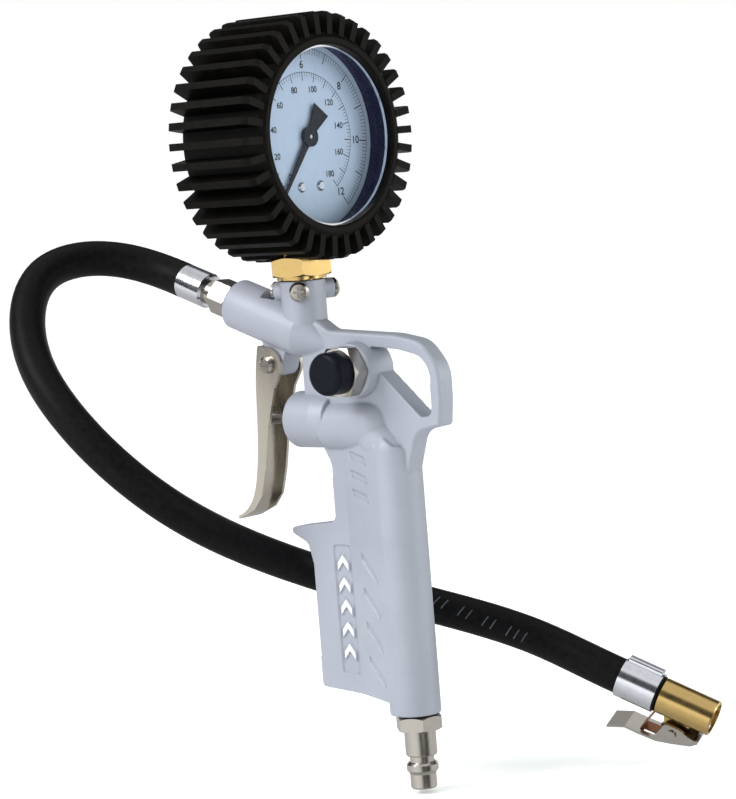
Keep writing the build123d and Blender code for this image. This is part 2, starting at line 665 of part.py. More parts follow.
def gauge_boot():
    """Rubber boot: a cup around the case with grip ribs all round."""
    depth = BOOT_FRONT_X - BOOT_BACK_X
    case_floor = CASE_BACK_X - BOOT_BACK_X
    bezel = CASE_FRONT_X + BEZEL_THICKNESS - BOOT_BACK_X
    boot = turned((BOOT_BACK_X, 0, GAUGE_Z), X_AXIS, [
        (CASE_R, case_floor), (CASE_R, bezel), (BOOT_LIP_R, bezel), (BOOT_LIP_R, depth - 0.5),
        (BOOT_LIP_R + 0.8, depth), (BOOT_CORE_R - 2.2, depth), (BOOT_CORE_R, depth - 1.6), (BOOT_CORE_R, 0.8),
        (BOOT_CORE_R - 0.8, 0), (24, 0), (24, case_floor),
    ])
    rib = Polyline(
        (BOOT_CORE_R - 1.0, 0.4), (BOOT_RIB_R - 0.9, 0.4), (BOOT_RIB_R, 1.3), (BOOT_RIB_R, depth - 3.0),
        (BOOT_RIB_R - 1.2, depth - 0.6), (BOOT_CORE_R - 1.0, depth - 0.6), close=True,
    )
    blade = extrude(Plane.XZ * make_face(rib), RIB_THICKNESS / 2, both=True)
    frame = Plane(origin=(BOOT_BACK_X, 0, GAUGE_Z), z_dir=X_AXIS).location
    ribs = [frame * Rot(0, 0, 360 / RIB_COUNT * (index + 0.5)) * blade for index in range(RIB_COUNT)]
    boot = boot.fuse(*ribs)
    boot -= rod((POST_X, 0, SOCKET_HEX_Z - 5.0), Z_AXIS, 13.4, GAUGE_Z - BOOT_CORE_R - SOCKET_HEX_Z + 5.0)
    boot -= rod((POST_X, 0, GAUGE_Z - BOOT_RIB_R - 5.0), Z_AXIS, STEM_HOLE_R, 20)
    return boot


# ---------------------------------------------------------------- gauge movement
def needle_turn(angle):
    """Location that turns a shape drawn pointing straight down to a dial angle."""
    return Pos(0, 0, GAUGE_Z) * Rot(-angle, 0, 0)


def gauge_pointer():
    """Needle with a tapering blade, a broad spade tail and a round hub."""
    half = [(0.35, -33.0), (1.4, -4.0), (1.8, 0.0), (2.2, 4.5), (4.4, 12.4)]
    other = [(-y, z) for y, z in reversed(half)]
    face = make_face(Polyline(*half, *other, close=True))
    needle = extrude(Plane(origin=(DIAL_X + 1.2, 0, 0), x_dir=Y_AXIS, z_dir=X_AXIS) * face, 0.5)
    hub = rod((DIAL_X + 0.8, 0, 0), X_AXIS, 3.8, 1.6)
    body = needle + hub - rod((DIAL_X, 0, 0), X_AXIS, SHAFT_R, 3.0)
    return needle_turn(POINTER_ZERO) * body


def gear_face(teeth, first, last):
    """Disc with slim straight-sided teeth numbered first to last, centred on the origin."""
    pitch_r = GEAR_MODULE * teeth / 2
    root_r = pitch_r - 0.35
    tip_r = pitch_r + 0.25
    tooth = make_face(Polyline((root_r - 0.3, -0.26), (tip_r, -0.1), (tip_r, 0.1), (root_r - 0.3, 0.26), close=True))
    face = Circle(root_r)
    for number in range(first, last + 1):
        face += Rot(0, 0, number * 360 / teeth) * tooth
    return face


def pinion_shaft():
    """Pointer arbor with its pinion, from the back plate to the hub."""
    shaft = rod((BACK_PLATE_X, 0, GAUGE_Z), X_AXIS, SHAFT_R, DIAL_X + 2.2 - BACK_PLATE_X)
    plane = Plane(origin=(-45.0, 0, GAUGE_Z), x_dir=(0, 0, -1), z_dir=X_AXIS)
    return shaft + plane.location * extrude(gear_face(PINION_TEETH, 0, PINION_TEETH - 1), 3.0)


SECTOR_Z = GAUGE_Z - GEAR_MODULE * (PINION_TEETH + SECTOR_TEETH) / 2
SECTOR_THICKNESS = 1.4


def sector_gear():
    """Sector that drives the pinion, with its arbor and the tail that the link pulls."""
    first, last = -11, 2
    step = 360 / SECTOR_TEETH
    low, high = radians((first - 0.5) * step), radians((last + 0.5) * step)
    middle = (low + high) / 2
    far = 24.0
    wedge = make_face(Polyline(
        (-3.0 * cos(middle), -3.0 * sin(middle)), (far * cos(low), far * sin(low)),
        (far * cos(high), far * sin(high)), close=True,
    ))
    blade = Rot(0, 0, step / 2) * (gear_face(SECTOR_TEETH, first, last) & wedge)
    tail = Pos(0, -TAIL_REACH / 2 - 0.7) * Rectangle(2.8, TAIL_REACH + 1.4) - Pos(0, -TAIL_REACH) * Circle(0.6)
    body = extrude(blade + Circle(3.0) + tail, SECTOR_THICKNESS)
    plane = Plane(origin=(LINK_X + 1.0, 0, SECTOR_Z), x_dir=Z_AXIS, z_dir=X_AXIS).location
    arbor = rod((BACK_PLATE_X, 0, SECTOR_Z), X_AXIS, SHAFT_R, FRONT_PLATE_X + PLATE_THICKNESS - BACK_PLATE_X)
    return plane * body + arbor


def bourdon_link():
    """Flat link with a pin in the sector's tail and an eye beside the spring tube's tip."""
    foot = Vector(TAIL_REACH, SECTOR_Z)
    top = Vector(LINK_TOP[0], GAUGE_Z + LINK_TOP[1])
    bar = SlotCenterToCenter((top - foot).length, 2.6)
    lean = Axis(tuple(foot), tuple(top - foot)).direction
    placed = Plane(origin=tuple((foot + top) / 2), x_dir=tuple(lean), z_dir=(0, 0, 1)).location * bar
    eye = Pos(top.X, top.Y) * Circle(LINK_PIN_R + RUNNING)
    face = Plane(origin=(LINK_X, 0, 0), x_dir=Y_AXIS, z_dir=X_AXIS) * (placed - eye)
    pin = rod((LINK_X, TAIL_REACH, SECTOR_Z), X_AXIS, LINK_PIN_R, 2.8)
    return extrude(face, 0.8) + pin


PLATE_SCREW_Y = (-5.0, 5.0)
PLATE_SCREW_Z = GAUGE_Z - 32.6


def movement_plate(x):
    """Upright brass plate with bearings for both arbors."""
    foot_z = GAUGE_Z - BOURDON_R - 7.5
    top_z = GAUGE_Z + 7.5
    body = Pos(x + PLATE_THICKNESS / 2, 0, (foot_z + top_z) / 2) * Box(PLATE_THICKNESS, 15.0, top_z - foot_z)
    for z in (GAUGE_Z, SECTOR_Z):
        body -= rod((x, 0, z), X_AXIS, SHAFT_R + RUNNING, PLATE_THICKNESS)
    for y in PLATE_SCREW_Y:
        body -= rod((x, y, PLATE_SCREW_Z), X_AXIS, 1.0, PLATE_THICKNESS)
    return body


def movement_back_plate():
    return movement_plate(BACK_PLATE_X)


def movement_front_plate():
    body = movement_plate(FRONT_PLATE_X)
    for y, z in dial_screw_places():
        body -= rod((FRONT_PLATE_X, y, z), X_AXIS, 1.0, PLATE_THICKNESS)
    return body


def movement_pillars():
    gap = FRONT_PLATE_X - BACK_PLATE_X - PLATE_THICKNESS
    pillars = [rod((BACK_PLATE_X + PLATE_THICKNESS, side * 5.6, GAUGE_Z + 5.3), X_AXIS, 1.3, gap) for side in (-1, 1)]
    return Compound(children=pillars)


def movement_screws():
    """Screws that hold both plates against the socket block."""
    screws = []
    for x, way in ((BACK_PLATE_X, BACKWARD), (FRONT_PLATE_X + PLATE_THICKNESS, X_AXIS)):
        for y in PLATE_SCREW_Y:
            face = (x, y, PLATE_SCREW_Z)
            shank = rod(along(face, way, -PLATE_THICKNESS), way, 1.0, PLATE_THICKNESS)
            screws.append(shank + rod(face, way, 1.8, 0.9))
    return Compound(children=screws)


def bourdon_core():
    """Flattened C-shaped spring tube as a plain bar, from the socket block round to its tip."""
    profile = Plane(origin=(BOURDON_X, 0, GAUGE_Z - BOURDON_R), z_dir=Y_AXIS, x_dir=X_AXIS)
    section = profile * SlotOverall(8.0, 3.0)
    return revolve(section, Axis((0, 0, GAUGE_Z), BACKWARD), BOURDON_ARC)


def bourdon_tube():
    """Spring tube with the small tab at its tip that the link would be pinned to."""
    tab = Polyline((25.6, 4.4), (28.4, 4.0), (27.6, 0.0), (23.6, -2.4), (21.6, -1.4), (22.6, 0.6), close=True)
    face = make_face(tab) - Pos(*LINK_TOP) * Circle(LINK_PIN_R + RUNNING)
    plane = Plane(origin=(LINK_X - 2.0, 0, GAUGE_Z), x_dir=Y_AXIS, z_dir=X_AXIS)
    return bourdon_core() + extrude(plane * face, 1.6)


def hairspring():
    """Flat spiral between the pointer arbor and the front plate."""
    inner_r, outer_r, turns, strip = 1.15, 5.2, 3.5, 0.14
    steps = 48

    def spiral(offset):
        points = []
        for index in range(steps + 1):
            share = index / steps
            r = inner_r + (outer_r - inner_r) * share + offset
            points.append((r * cos(2 * pi * turns * share), r * sin(2 * pi * turns * share)))
        return points

    outside = Spline(*spiral(strip))
    inside = Spline(*spiral(-strip))
    ends = [Line(outside @ 0, inside @ 0), Line(outside @ 1, inside @ 1)]
    face = make_face([outside, inside] + ends)
    coil_body = extrude(face, 0.6)
    return Plane(origin=(-39.4, 0, GAUGE_Z), z_dir=X_AXIS).location * coil_body


# ---------------------------------------------------------------- hose and its fittings
def hose_nipple():
    """Hexagon nipple: thread into the barrel, barb into the hose."""
    barb_r = HOSE_BORE_R - 0.02
    barb_end = FERRULE_END - 2.0
    body = turned(barrel_end, barrel_dir, [
        (2.0, -NIPPLE_THREAD), (BARREL_BORE_R, -NIPPLE_THREAD), (BARREL_BORE_R, WASHER_THICKNESS),
        (5.2, WASHER_THICKNESS), (5.2, FERRULE_START), (5.2, FERRULE_START + 1.2), (barb_r, FERRULE_START + 1.2),
        (barb_r, barb_end), (2.6, FERRULE_END), (2.0, FERRULE_END),
    ])
    start = along(barrel_end, barrel_dir, WASHER_THICKNESS)
    hexagon = turned_hex(start, barrel_dir, NIPPLE_FLATS, NIPPLE_HEX_END - WASHER_THICKNESS, Y_AXIS)
    return body + (hexagon - rod(barrel_end, barrel_dir, 2.0, FERRULE_END))


def nipple_washer():
    return ring(barrel_end, barrel_dir, 6.8, BARREL_BORE_R, WASHER_THICKNESS)


def hose_ferrule():
    """Crimped sleeve with a lip that hooks behind the nipple."""
    length = FERRULE_END - FERRULE_START
    return turned(along(barrel_end, barrel_dir, FERRULE_START), barrel_dir, [
        (CRIMP_R, 1.2), (CRIMP_R, length), (FERRULE_R, length), (FERRULE_R, 1.0), (FERRULE_R - 0.8, 0), (5.2, 0),
        (5.2, 1.2),
    ])


def hose_path():
    """Centre line: straight in the ferrule, a loop beside and under the gun, straight in the clamp."""
    first = along(barrel_end, barrel_dir, FERRULE_START + 1.2)
    leave = along(barrel_end, barrel_dir, FERRULE_END + 2.4)
    chuck_start = along(CHUCK_MOUTH, chuck_dir, -CHUCK_LENGTH)
    arrive = along(chuck_start, chuck_dir, -CLAMP_LENGTH - 4.0)
    last = along(chuck_start, chuck_dir, -0.4)
    loop = [
        (-129.5, -10.6, 205.2), (-139.8, -43.0, 202.4), (-131.0, -62.0, 181.8), (-108.3, -69.6, 154.1),
        (-80.4, -56.3, 120.8), (-61.8, -6.0, 86.3), (-33.5, 39.6, 63.4), (8.9, 59.8, 48.0),
    ]
    curve = Spline(leave, *loop, arrive, tangents=[barrel_dir, chuck_dir], tangent_scalars=[1, 1])
    return Wire([Line(first, leave).edge(), curve.edge(), Line(arrive, last).edge()])


def hose():
    """Rubber hose, squeezed to a smaller radius inside the ferrule."""
    path = hose_path()
    start = Plane(origin=path @ 0, z_dir=barrel_dir)
    outer = sweep(start * Circle(HOSE_R), path)
    inner = sweep(start * Circle(HOSE_BORE_R), path)
    squeeze = ring(path @ 0, barrel_dir, HOSE_R + 1, CRIMP_R, FERRULE_END - FERRULE_START - 1.2)
    return outer - inner - squeeze


def ear_clamp():
    """Clamp band with its raised closing ear."""
    origin = along(CHUCK_MOUTH, chuck_dir, -CHUCK_LENGTH - CLAMP_GAP - CLAMP_LENGTH)
    frame = Plane(origin=origin, x_dir=(0, 0, 1), z_dir=chuck_dir)
    from_start = (Align.CENTER, Align.CENTER, Align.MIN)
    band = Cylinder(CLAMP_R, CLAMP_LENGTH, align=from_start)
    ear = Pos(CLAMP_R - 0.6, 0, 0.8) * Box(4.4, 4.6, CLAMP_LENGTH - 1.6, align=from_start)
    ear = fillet(ear.edges().filter_by(Axis.Z), 1.3)
    return frame.location * (band + ear - Cylinder(HOSE_R, CLAMP_LENGTH, align=from_start))


# ---------------------------------------------------------------- clip-on chuck, in its own frame
def chuck_frame():
    """Origin at the hose end, Z along the axis to the mouth, X towards the lever, Y the pin's axis."""
    origin = along(CHUCK_MOUTH, chuck_dir, -CHUCK_LENGTH)
    side = Vector(0, 0, 1).cross(Vector(*chuck_dir)).normalized()
    down = Vector(*chuck_dir).cross(side) * -1
    roll = radians(CHUCK_ROLL)
    toward_lever = down * cos(roll) + side * sin(roll)
    return Plane(origin=origin, x_dir=toward_lever, z_dir=chuck_dir).location


def chuck_body():
    """Brass body with a barb, a valve socket, a lug for the lever pin and a slot for the claw."""
    pin_r, pin_z = LEVER_PIN
    body = revolve(Plane.XZ * make_face(Polyline(
        (1.6, -15.5), (2.6, -15.5), (HOSE_BORE_R - 0.02, -14.0), (HOSE_BORE_R - 0.02, -0.4), (CHUCK_R - 0.7, -0.4),
        (CHUCK_R, 0.4), (CHUCK_R, CHUCK_LENGTH - 0.5), (CHUCK_R - 0.4, CHUCK_LENGTH), (MOUTH_R, CHUCK_LENGTH),
        (MOUTH_R, SOCKET_TOP + 1.4), (VALVE_SOCKET_R, SOCKET_TOP), (VALVE_SOCKET_R, SOCKET_FLOOR),
        (5.6, SOCKET_FLOOR), (5.6, SOCKET_FLOOR - 3.0), (CHAMBER_R, SOCKET_FLOOR - 3.0), (CHAMBER_R, 5.0),
        (1.6, 5.0), close=True,
    )), Axis.Z)
    lug_side = [
        (CHUCK_R - 2.0, 3.2, 0), (pin_r - 0.6, 5.0, 2.0), (pin_r + 2.6, pin_z - 1.6, 2.4),
        (pin_r + 1.6, pin_z + 3.0, 2.0), (CHUCK_R - 2.0, 15.4, 0),
    ]
    lug = extrude(Plane.XZ * outline(lug_side), 2.6, both=True) - Cylinder(CHUCK_R - 1.0, 60)
    body += lug
    body -= Pos(pin_r, 0, pin_z) * Rot(90, 0, 0) * Cylinder(LEVER_PIN_R, 12)
    body -= Pos(7.0, 0, 19.4) * Box(7.0, 5.6, 3.8)
    return body


def chuck_seal():
    return Pos(0, 0, SOCKET_FLOOR - 1.5) * (Cylinder(5.55, 2.9) - Cylinder(3.0, 6))


def chuck_depressor():
    """Small spider whose centre pin opens the tyre valve."""
    disc = Pos(0, 0, 5.6) * Cylinder(CHAMBER_R - 0.02, 1.2)
    for angle in (0, 120, 240):
        disc -= Rot(0, 0, angle) * Pos(2.6, 0, 5.6) * Cylinder(0.8, 4)
    return disc + Pos(0, 0, 9.2) * Cylinder(0.9, 6.4)


def chuck_lever():
    """Sprung clip: a bent sheet with a windowed tail, two side walls for the pin and a claw."""
    pin_r, pin_z = LEVER_PIN
    sheet = LEVER_SHEET
    plate_line = [(22.8, -16.4), (19.1, -9.4), (19.1, -2.6), (18.7, 3.7), (16.8, 9.6), (13.8, 17.2)]
    inner_line = [(r - sheet, z) for r, z in plate_line[:-1]]
    profile = make_face(Polyline(
        *plate_line, (11.4, 19.7), (4.4, 19.7), (4.4, 18.7), (11.0, 18.7), (12.7, 16.8), *reversed(inner_line),
        close=True,
    ))
    body = extrude(Plane.XZ * profile, LEVER_HALF, both=True)
    claw_sides = Pos(6.0, 0, 19.2) * (Box(8.0, 30, 4.0) - Box(9.0, 5.0, 5.0))
    window = Pos(18.6, 0, 0.2) * Box(4.0, 6.0, 5.0)
    body -= claw_sides + window
    wall = outline([
        (18.0, 2.0, 0), (pin_r - 3.8, pin_z - 3.2, 2.4), (pin_r - 3.8, pin_z + 2.4, 2.4), (10.0, 15.4, 0),
        (10.6, 19.2, 0), (11.4, 19.4, 0), (13.4, 17.2, 0), (16.4, 9.6, 0), (18.3, 3.7, 0),
    ])
    side = extrude(Plane.XZ * wall, sheet / 2, both=True)
    for way in (-1, 1):
        body += Pos(0, way * (LEVER_HALF - sheet / 2), 0) * side
    return body - Pos(pin_r, 0, pin_z) * Rot(90, 0, 0) * Cylinder(LEVER_PIN_R + RUNNING, 14)


def chuck_pin():
    pin = Cylinder(LEVER_PIN_R, 2 * LEVER_HALF + 0.6)
    for side in (-1, 1):
        pin += Pos(0, 0, side * (LEVER_HALF + 0.45)) * Cylinder(2.0, 0.6)
    return Pos(LEVER_PIN[0], 0, LEVER_PIN[1]) * Rot(90, 0, 0) * pin


def chuck_spring():
    """Bent leaf between the body and the lever's plate, folded over behind the plate's window."""
    foot_r = CHUCK_R + 0.02
    leaf = make_face(Polyline(
        (foot_r, 2.8), (foot_r + 0.4, 2.8), (foot_r + 0.4, 0.2), (17.3, -3.2), (17.0, 3.2), (17.5, 3.2),
        (17.85, -3.9), (foot_r, -0.2), close=True,
    ))
    return extrude(Plane.XZ * leaf, 2.4, both=True)


CHUCK_NODES = {
    "chuck_body": chuck_body,
    "chuck_seal": chuck_seal,
    "chuck_depressor": chuck_depressor,
    "chuck_lever": chuck_lever,
    "chuck_pin": chuck_pin,
    "chuck_spring": chuck_spring,
}

NODES = {
    "gun_body": gun_body,
    "inlet_plug": inlet_plug,
    "plug_seal": plug_seal,
    "valve_gland": valve_gland,
    "stem_o_ring": stem_o_ring,
    "valve_seat": valve_seat,
    "valve_stem": valve_stem,
    "valve_disc": valve_disc,
    "valve_spring": valve_spring,
    "trigger": trigger,
    "trigger_screw": trigger_screw,
    "trigger_nut": trigger_nut,
    "release_nut": release_nut,
    "release_cap": release_cap,
    "release_stem": release_stem,
    "release_seal": release_seal,
    "release_spring": release_spring,
    "gauge_socket": gauge_socket,
    "socket_o_ring": socket_o_ring,
    "socket_screws": socket_screws,
    "gauge_case": gauge_case,
    "gauge_bezel": gauge_bezel,
    "window_gasket": window_gasket,
    "gauge_window": gauge_window,
    "dial_spacer": dial_spacer,
    "gauge_dial": gauge_dial,
    "dial_screws": dial_screws,
    "gauge_boot": gauge_boot,
    "gauge_pointer": gauge_pointer,
    "pinion_shaft": pinion_shaft,
    "sector_gear": sector_gear,
    "bourdon_link": bourdon_link,
    "movement_back_plate": movement_back_plate,
    "movement_front_plate": movement_front_plate,
    "movement_pillars": movement_pillars,
    "movement_screws": movement_screws,
    "bourdon_tube": bourdon_tube,
    "hairspring": hairspring,
    "hose_nipple": hose_nipple,
    "nipple_washer": nipple_washer,
    "hose_ferrule": hose_ferrule,
    "hose": hose,
    "ear_clamp": ear_clamp,
}


def main():
    os.makedirs("parts", exist_ok=True)
    for name, build in NODES.items():
        export_step(build(), f"parts/{name}.step")
    frame = chuck_frame()
    for name, build in CHUCK_NODES.items():
        export_step(frame * build(), f"parts/{name}.step")


main()
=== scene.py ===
import math

import bpy
from mathutils import Matrix, Vector
from mathutils.bvhtree import BVHTree


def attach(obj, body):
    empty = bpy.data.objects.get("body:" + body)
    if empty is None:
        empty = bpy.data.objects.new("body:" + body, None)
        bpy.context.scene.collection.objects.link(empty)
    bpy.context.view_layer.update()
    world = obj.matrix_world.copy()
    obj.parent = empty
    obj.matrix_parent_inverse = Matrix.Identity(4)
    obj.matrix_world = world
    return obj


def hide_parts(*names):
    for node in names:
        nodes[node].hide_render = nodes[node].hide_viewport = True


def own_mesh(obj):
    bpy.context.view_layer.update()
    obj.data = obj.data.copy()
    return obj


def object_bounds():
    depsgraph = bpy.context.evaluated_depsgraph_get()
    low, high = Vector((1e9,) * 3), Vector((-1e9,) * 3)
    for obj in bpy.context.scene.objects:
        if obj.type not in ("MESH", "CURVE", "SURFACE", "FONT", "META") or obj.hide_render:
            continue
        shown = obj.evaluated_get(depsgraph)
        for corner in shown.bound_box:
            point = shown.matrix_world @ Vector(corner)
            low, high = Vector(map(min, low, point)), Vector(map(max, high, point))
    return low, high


MM = 0.001

# Softened edges, in mm, of the CAD parts that show.
BEVELS = {
    "gauge_boot": 0.35, "release_cap": 0.3, "ear_clamp": 0.35, "chuck_lever": 0.2, "hose_nipple": 0.25,
    "gauge_socket": 0.3, "inlet_plug": 0.2, "release_nut": 0.2, "trigger": 0.3, "socket_screws": 0.2,
    "trigger_screw": 0.2, "chuck_body": 0.25, "hose_ferrule": 0.3, "gauge_pointer": 0.08,
}
BEVEL_ANGLE = 28              # degrees; only edges sharper than this are softened

# Casting: the cells it is remeshed with, and how often it is smoothed after that.
VOXEL = 0.35 * MM
SMOOTH_PASSES = 3

# Gauge dial. Angles run clockwise from straight down, as the reader sees the dial.
GAUGE_Z = 248.0 * MM          # height of the pointer's axis
DIAL_X = -33.1 * MM           # front face of the dial
DIAL_START = 37.0             # degrees at the zero mark
DIAL_SWEEP = 286.0            # degrees from the zero mark to the last one
MARK_LIFT = 0.03 * MM         # how far the marks and figures stand off the dial
FIGURE_LIFT = 0.04 * MM
ARC_STEPS = 140

# Marks are (length, width); a scale's figures run from 0 to last.
OUTER_SCALE = dict(radius=33.6 * MM, divisions=120, major=10, short=(2.3 * MM, 0.20 * MM),
                   long=(4.0 * MM, 0.42 * MM), line=0.20 * MM)
INNER_SCALE = dict(radius=24.4 * MM, divisions=90, major=5, short=(1.7 * MM, 0.17 * MM),
                   long=(3.2 * MM, 0.34 * MM), line=0.22 * MM)
OUTER_FIGURES = dict(last=12, step=2, radius=27.3 * MM, size=4.1 * MM)
INNER_FIGURES = dict(last=180, step=20, radius=18.4 * MM, size=3.3 * MM)

# Chevrons on the web's label panel.
PANEL_X = -28.6 * MM          # centre of the panel
PANEL_Z = 67.4 * MM
WEB_HALF = 4.2 * MM           # half thickness of the web there
PANEL_LIFT = 0.06 * MM        # how far the print stands off the web
CHEVRONS = 5
CHEVRON_PITCH = 8.6 * MM
CHEVRON_LOWEST = -19.2 * MM   # feet of the lowest one, from the panel's centre
CHEVRON_HALF = 2.7 * MM       # half width
CHEVRON_RISE = 3.3 * MM       # from its feet to its point
CHEVRON_THICK = 2.8 * MM

# Line of slanted strokes on the hose.
PRINT_START = Vector((-26.3, 38.4, 65.6)) * MM
PRINT_END = Vector((12.4, 53.3, 47.8)) * MM
PRINT_OUT = Vector((0.42, -0.86, 0.27)).normalized()      # the way the strokes face
PRINT_LIFT = 0.04 * MM
RAY_START = 20 * MM           # rays on to the hose start this far out
STROKE_PLACES = 13
STROKES = (0, 1, 2, 4, 5, 7, 8, 10, 11, 12)
STROKE_HALF_WIDTH = 0.25 * MM
STROKE_HALF_HEIGHT = 2.1 * MM
STROKE_LEAN = 0.6 * MM
STROKE_STEPS = 6

# Stage.
FLOOR_HALF = 6.0
FLOOR_GAP = 2 * MM            # the floor lies this far under the lowest point
MIDDLE = (-0.03, 0, 0.15)     # what the lights point at
CAMERA_PLACE = (0.7112, -0.8041, 0.2444)
CAMERA_AZIMUTH = 42.0         # degrees, from the button side towards the dial side
CAMERA_ELEVATION = 5.1
CAMERA_ROLL = 4.6
CAMERA_LENS = 129.76
CAMERA_SENSOR = 36
CAMERA_CLIP = 0.05

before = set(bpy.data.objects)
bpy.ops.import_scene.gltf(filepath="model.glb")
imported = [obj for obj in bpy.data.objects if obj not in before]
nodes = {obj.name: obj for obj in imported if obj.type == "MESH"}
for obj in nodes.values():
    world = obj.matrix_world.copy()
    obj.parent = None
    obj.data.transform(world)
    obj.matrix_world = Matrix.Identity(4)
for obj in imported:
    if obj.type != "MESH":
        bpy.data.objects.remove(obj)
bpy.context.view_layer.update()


# ---------------------------------------------------------------- node helpers
def new_material(name):
    material = bpy.data.materials.new(name)
    material.use_nodes = True
    tree = material.node_tree
    return material, tree, tree.nodes["Principled BSDF"]


def add_node(tree, kind, **values):
    """New shader node; each value is a property of the node or the default of an input."""
    node = tree.nodes.new(kind)
    for key, value in values.items():
        if hasattr(node, key):
            setattr(node, key, value)
        else:
            node.inputs[key].default_value = value
    return node


def noise(tree, scale, detail=3.0, rough=0.6, stretch=None):
    """Procedural noise in object space, optionally stretched along an axis."""
    coords = add_node(tree, "ShaderNodeTexCoord").outputs["Object"]
    if stretch:
        mapping = add_node(tree, "ShaderNodeMapping")
        mapping.inputs["Scale"].default_value = stretch
        tree.links.new(coords, mapping.inputs["Vector"])
        coords = mapping.outputs["Vector"]
    texture = add_node(tree, "ShaderNodeTexNoise", Scale=scale, Detail=detail, Roughness=rough)
    tree.links.new(coords, texture.inputs["Vector"])
    return texture.outputs["Fac"]


def ramp(tree, source, stops):
    """Colour ramp; stops are (position, grey value or colour)."""
    node = add_node(tree, "ShaderNodeValToRGB")
    elements = node.color_ramp.elements
    while len(elements) < len(stops):
        elements.new(0.5)
    for element, (position, value) in zip(elements, stops):
        element.position = position
        colour = (value, value, value) if isinstance(value, float) else value
        element.color = (*colour, 1)
    tree.links.new(source, node.inputs["Fac"])
    return node.outputs["Color"]


def multiply(tree, first, second):
    """The product of two colours."""
    node = add_node(tree, "ShaderNodeMix", data_type="RGBA", blend_type="MULTIPLY", Factor=1.0)
    tree.links.new(first, node.inputs[6])
    tree.links.new(second, node.inputs[7])
    return node.outputs[2]


def bump(tree, shader, height, strength, distance):
    node = add_node(tree, "ShaderNodeBump", Strength=strength, Distance=distance)
    tree.links.new(height, node.inputs["Height"])
    tree.links.new(node.outputs["Normal"], shader.inputs["Normal"])


def mottled(name, dark, light, rough, scale, metallic=0.0, relief=0.0, stretch=None, gloss=0.5):
    """Material whose colour, roughness and relief vary with noise; rough is (lowest, highest)."""
    material, tree, shader = new_material(name)
    grain = noise(tree, scale, stretch=stretch)
    colour = ramp(tree, grain, [(0.3, dark), (0.7, light)])
    roughness = ramp(tree, grain, [(0.3, rough[0]), (0.7, rough[1])])
    tree.links.new(colour, shader.inputs["Base Color"])
    tree.links.new(roughness, shader.inputs["Roughness"])
    shader.inputs["Metallic"].default_value = metallic
    shader.inputs["Specular IOR Level"].default_value = gloss
    if relief:
        bump(tree, shader, noise(tree, scale * 4, 4.0, stretch=stretch), 0.5, relief)
    return material


# ---------------------------------------------------------------- materials
def casting_material():
    """Shot-blasted die casting: fine grain, faint cloudy patches, and painted shade that darkens the sunken
    marks and corners.
    """
    material, tree, shader = new_material("casting")
    clouds = noise(tree, 45, 4.0)
    grain = noise(tree, 2600, 2.0)
    base = ramp(tree, clouds, [(0.3, (0.375, 0.395, 0.46)), (0.7, (0.415, 0.435, 0.50))])
    # Painted shade: the base colour is darkened in creases by pointiness and in corners by ambient
    # occlusion.
    pointiness = add_node(tree, "ShaderNodeNewGeometry").outputs["Pointiness"]
    painted_crease_shade = ramp(tree, pointiness, [(0.40, 0.18), (0.485, 1.0)])
    corners = add_node(tree, "ShaderNodeAmbientOcclusion", samples=6, Distance=1.2 * MM)
    tree.links.new(multiply(tree, base, painted_crease_shade), corners.inputs["Color"])
    tree.links.new(corners.outputs["Color"], shader.inputs["Base Color"])
    tree.links.new(ramp(tree, grain, [(0.3, 0.46), (0.7, 0.62)]), shader.inputs["Roughness"])
    shader.inputs["Metallic"].default_value = 0.35
    bump(tree, shader, grain, 0.35, 0.06 * MM)
    return material


def window_material():
    """Clear pane: mostly see-through, with a faint blue sheen at glancing angles."""
    material, tree, shader = new_material("window")
    glossy = add_node(tree, "ShaderNodeBsdfGlossy", Color=(0.75, 0.8, 1.0, 1), Roughness=0.04)
    clear = add_node(tree, "ShaderNodeBsdfTransparent", Color=(0.96, 0.98, 1.0, 1))
    facing = add_node(tree, "ShaderNodeLayerWeight", Blend=0.12)
    smear = ramp(tree, noise(tree, 60), [(0.3, 0.7), (0.7, 1.0)])
    share = add_node(tree, "ShaderNodeMath", operation="MULTIPLY")
    tree.links.new(facing.outputs["Fresnel"], share.inputs[0])
    tree.links.new(smear, share.inputs[1])
    mix = add_node(tree, "ShaderNodeMixShader")
    tree.links.new(share.outputs[0], mix.inputs["Fac"])
    tree.links.new(clear.outputs[0], mix.inputs[1])
    tree.links.new(glossy.outputs[0], mix.inputs[2])
    tree.links.new(mix.outputs[0], tree.nodes["Material Output"].inputs["Surface"])
    tree.nodes.remove(shader)
    return material


def metals():
    """Plated, plain and yellow metals."""
    return {
        "nickel": mottled("nickel", (0.50, 0.475, 0.43), (0.55, 0.525, 0.48), (0.20, 0.27), 300, 1.0),
        "trigger": mottled("trigger_nickel", (0.50, 0.465, 0.40), (0.56, 0.525, 0.46), (0.24, 0.34), 260,
                           1.0, relief=0.01 * MM, stretch=(1, 1, 0.25)),
        "steel": mottled("steel", (0.55, 0.56, 0.58), (0.60, 0.61, 0.64), (0.25, 0.36), 900, 1.0),
        "zinc": mottled("bright_zinc", (0.70, 0.72, 0.77), (0.78, 0.80, 0.85), (0.13, 0.20), 300, 1.0),
        "chrome": mottled("chrome_line", (0.70, 0.71, 0.75), (0.80, 0.81, 0.85), (0.08, 0.14), 400, 1.0),
        "brass": mottled("brass", (0.60, 0.42, 0.16), (0.67, 0.475, 0.19), (0.18, 0.26), 300, 1.0),
        "bronze": mottled("bronze", (0.22, 0.10, 0.06), (0.34, 0.17, 0.10), (0.30, 0.45), 500, 0.9),
    }


